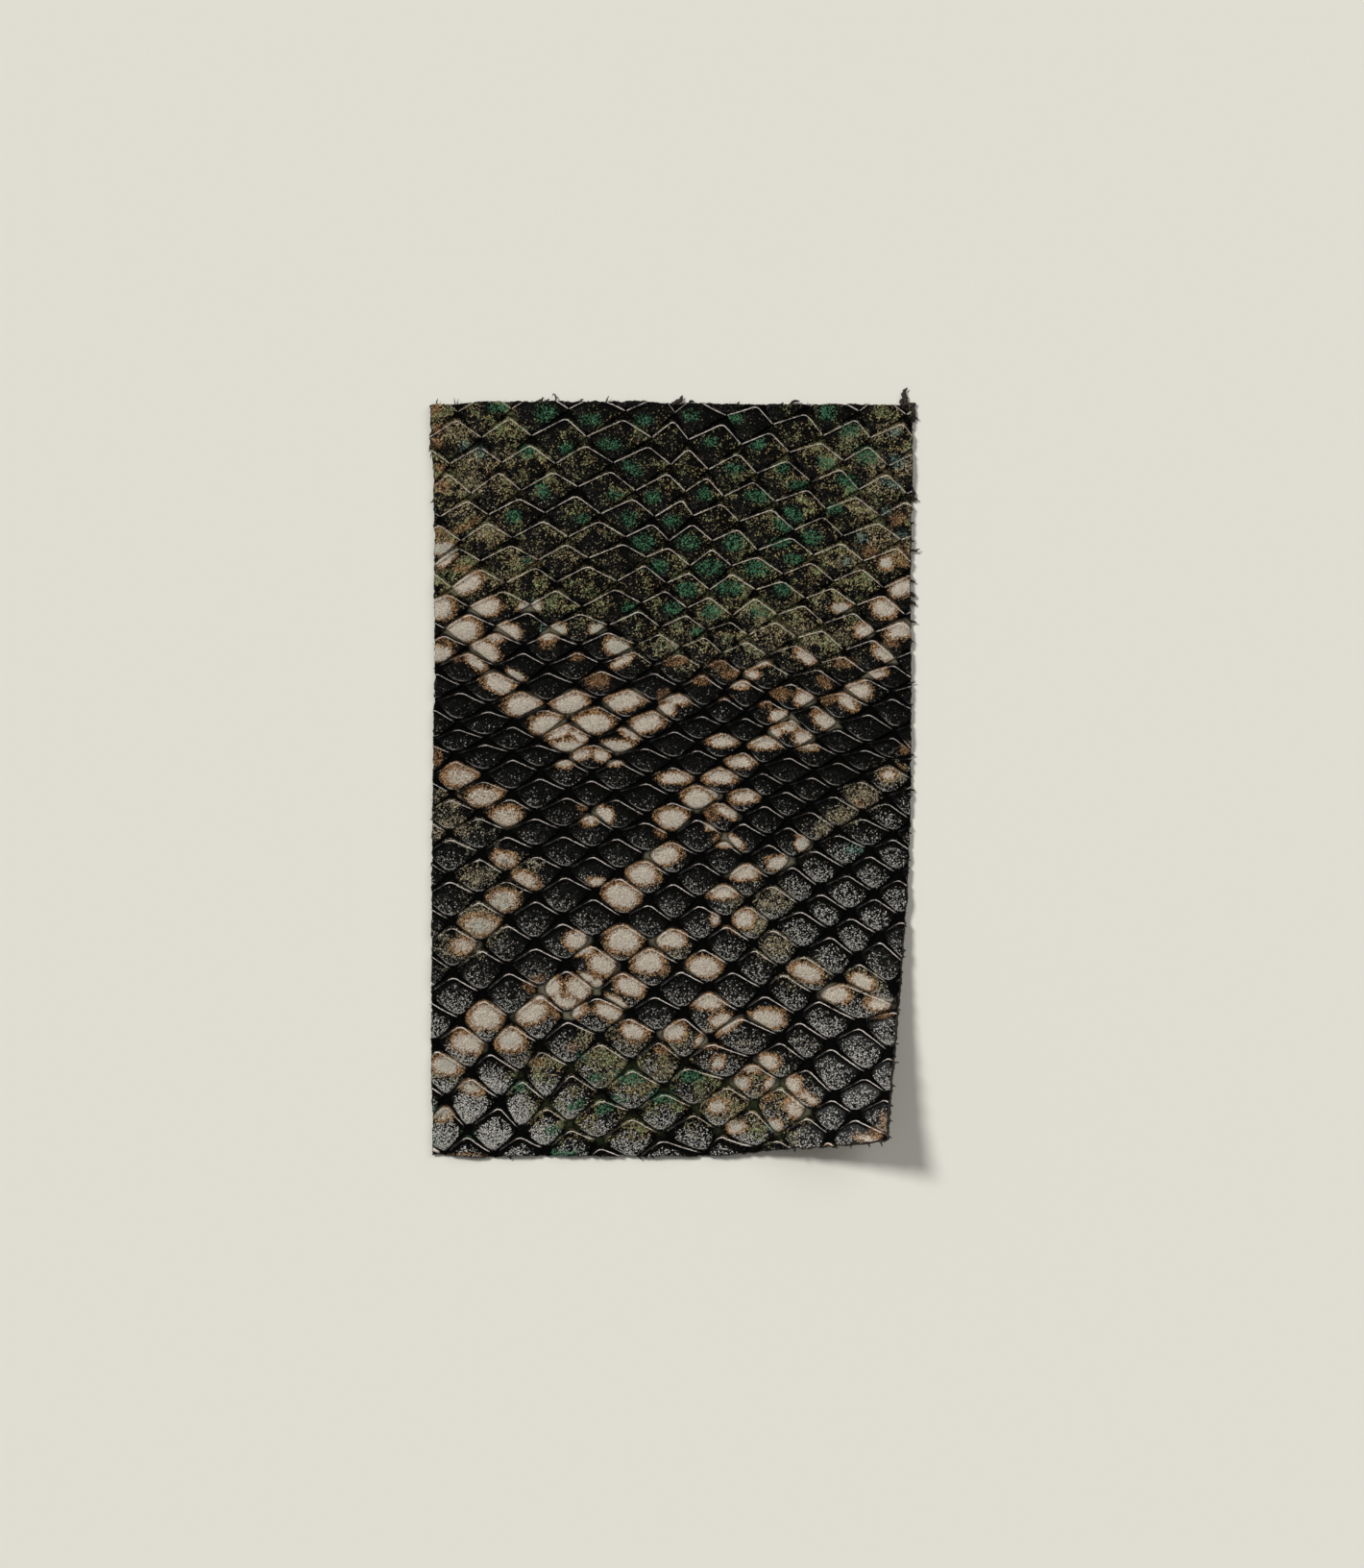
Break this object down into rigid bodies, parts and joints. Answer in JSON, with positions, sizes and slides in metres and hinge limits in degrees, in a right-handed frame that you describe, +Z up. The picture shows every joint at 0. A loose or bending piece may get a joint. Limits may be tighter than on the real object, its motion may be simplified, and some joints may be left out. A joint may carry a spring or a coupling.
{
  "type": "tanned snake skin",
  "caption": "Cut rectangle of tanned snake leather, dark with pale patches, rows of pointed scales, frayed edges and one corner curled up.",
  "frame": {"origin": "on the underside, under the middle of the sheet's overall length and width", "axes": "+Z up out of the scaled side, +Y along the sheet's length, the way the scales point, +X across it"},
  "size_m": [0.1019, 0.1607, 0.0115],
  "materials": {
    "snake_skin": "near-black tanned snake leather with pale cream patches edged in brown, a green cast towards two ends, low grainy sheen on the scales and pale rims"
  },
  "bodies": {
    "root": {"snake_skin": "snake_skin"}
  },
  "joints": []
}
